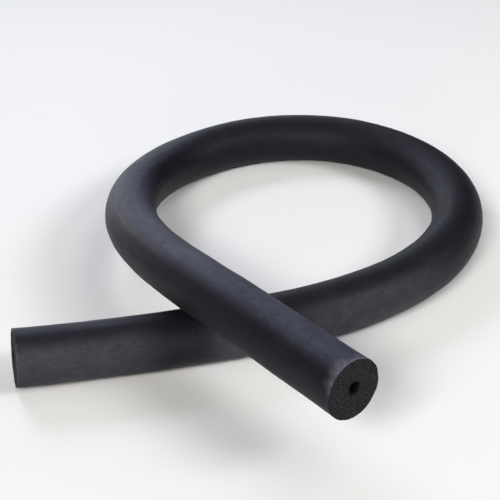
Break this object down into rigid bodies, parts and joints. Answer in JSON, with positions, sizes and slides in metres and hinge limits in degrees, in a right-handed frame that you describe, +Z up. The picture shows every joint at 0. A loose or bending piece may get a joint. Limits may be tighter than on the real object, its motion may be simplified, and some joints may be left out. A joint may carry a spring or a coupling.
{
  "type": "pipe insulation tube",
  "caption": "Thick-walled black foam pipe insulation tube with a narrow bore and square-cut ends, lying bent into a loose loop with an end resting across itself.",
  "frame": {"origin": "middle of the bounding box in plan, on the floor that the tube lies on", "axes": "+X the way the tube runs in from its end on the floor, +Y from the raised end towards the far side of the loop, +Z up"},
  "size_m": [0.5791, 0.7175, 0.1309],
  "materials": {
    "foam": "soft satin skin with matt cut ends"
  },
  "bodies": {
    "root": {"foam_tube": "foam"}
  },
  "joints": []
}
